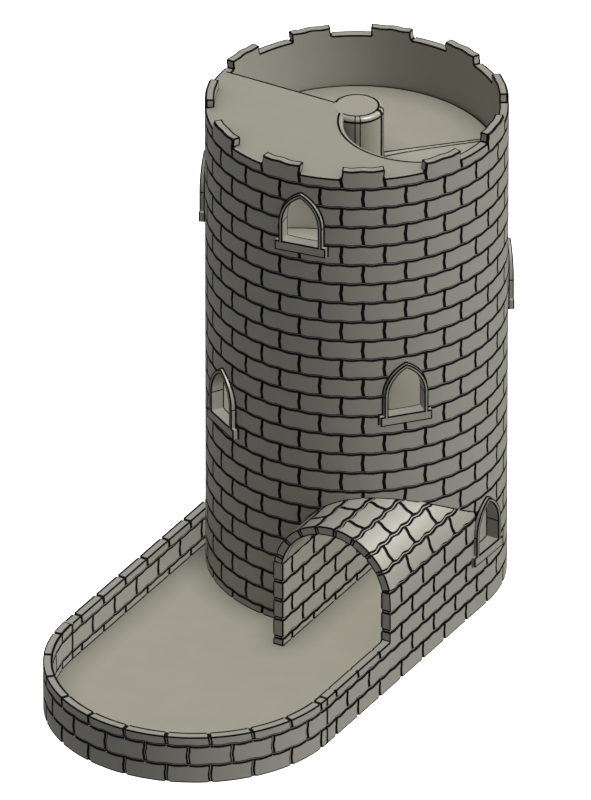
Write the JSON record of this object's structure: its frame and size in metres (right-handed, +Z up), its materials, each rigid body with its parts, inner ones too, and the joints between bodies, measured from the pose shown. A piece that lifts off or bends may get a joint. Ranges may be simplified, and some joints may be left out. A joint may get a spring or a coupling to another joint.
{
  "type": "dice tower",
  "caption": "Round castle dice tower: dice dropped at the battlements roll down a helical ramp and out through a vaulted tunnel into a walled tray.",
  "frame": {"origin": "on the tower's axis, at the flat underside that the part stands on", "axes": "+Z up along the tower; -Y from the tower towards the rounded end of the tray; +X towards the tunnel side"},
  "size_m": [0.1154, 0.2333, 0.1989],
  "materials": {
    "brickwork": "satin grey-olive moulded plastic with brick relief",
    "smooth_floor": "satin grey-olive plastic, smooth",
    "window_trim": "satin grey-olive plastic, smooth narrow trim"
  },
  "bodies": {
    "root": {"tray_end_wall": "brickwork", "tray_left_wall": "brickwork", "tray_right_wall": "brickwork", "tunnel_outer_wall": "brickwork", "tunnel_inner_wall": "brickwork", "tunnel_vault": "brickwork", "drum_lower": "brickwork", "drum_middle": "brickwork", "drum_upper": "brickwork", "battlement_ring": "brickwork", "base_plate": "smooth_floor", "landing": "smooth_floor", "ramp_exit": "smooth_floor", "top_deck": "smooth_floor", "centre_post": "smooth_floor", "ramp_flight_1": "smooth_floor", "ramp_flight_2": "smooth_floor", "ramp_flight_3": "smooth_floor", "ramp_flight_4": "smooth_floor", "ramp_flight_5": "smooth_floor", "ramp_flight_6": "smooth_floor", "window_surround_1": "window_trim", "window_surround_2": "window_trim", "window_surround_3": "window_trim", "window_surround_4": "window_trim", "window_surround_5": "window_trim", "window_surround_6": "window_trim", "window_surround_7": "window_trim", "window_surround_8": "window_trim", "window_surround_9": "window_trim"}
  },
  "joints": []
}
